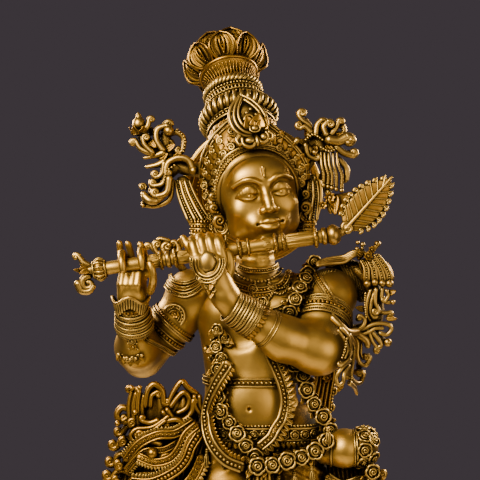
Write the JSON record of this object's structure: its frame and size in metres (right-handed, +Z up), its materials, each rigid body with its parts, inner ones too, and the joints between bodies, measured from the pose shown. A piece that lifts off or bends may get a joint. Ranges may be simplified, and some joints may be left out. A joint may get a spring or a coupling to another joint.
{
  "type": "hindu deity statue",
  "caption": "Ornate brass figure of a standing flute player with a tall crown, garlands and scarves, on a round lotus pedestal.",
  "frame": {"origin": "centre of the pedestal's underside, on the surface it stands on", "axes": "+Z up, -Y the figure's front, +X the figure's own left side"},
  "size_m": [0.2395, 0.208, 0.638],
  "materials": {
    "skin_brass": "burnished bare body surfaces with a thin brown lacquer tone",
    "chased_brass": "chased ornament, dark patina left in the cavities and polished high points",
    "plate_brass": "dull cast plate",
    "steel": "zinc plated fasteners"
  },
  "bodies": {
    "statue": {"base_plate": "plate_brass", "base_screws": "steel", "lotus_pedestal": "chased_brass", "foot_studs": "chased_brass", "stud_washers": "steel", "stud_nuts": "steel", "left_leg": "skin_brass", "right_leg": "skin_brass", "dhoti": "chased_brass", "torso": "skin_brass", "head": "skin_brass", "hair_bun": "chased_brass", "crown_rings": "chased_brass", "crown_lotus": "chased_brass", "diadem": "chased_brass", "crest_plume": "chased_brass", "halo_disc": "skin_brass", "halo_bracket": "plate_brass", "halo_screws": "steel", "right_arm": "skin_brass", "left_arm": "skin_brass", "right_hand": "skin_brass", "left_hand": "skin_brass", "right_armlet": "chased_brass", "left_armlet": "chased_brass", "right_bangles": "chased_brass", "left_bangles": "chased_brass", "right_earring": "chased_brass", "left_earring": "chased_brass", "right_plume": "chased_brass", "left_plume": "chased_brass", "right_hair_lock": "chased_brass", "left_hair_lock": "chased_brass", "necklaces": "chased_brass", "shoulder_garland": "chased_brass", "right_garland": "chased_brass", "left_garland": "chased_brass", "beaded_mala": "chased_brass", "belly_band": "chased_brass", "waist_belt": "chased_brass", "front_pleats": "chased_brass", "right_sash": "chased_brass", "left_sash": "chased_brass", "hip_ball": "skin_brass", "arm_scarf": "chased_brass", "back_scarf": "chased_brass", "right_anklet": "chased_brass", "left_anklet": "chased_brass"},
    "flute": {"flute_tube": "skin_brass", "flute_collars": "chased_brass", "flute_leaf": "chased_brass", "flute_tail": "chased_brass"}
  },
  "joints": [
    {"name": "flute_slide", "type": "slide", "parent": "statue", "child": "flute", "axis": [0.9893, 0, 0.1461], "range_m": [-0.006, 0.007]}
  ]
}
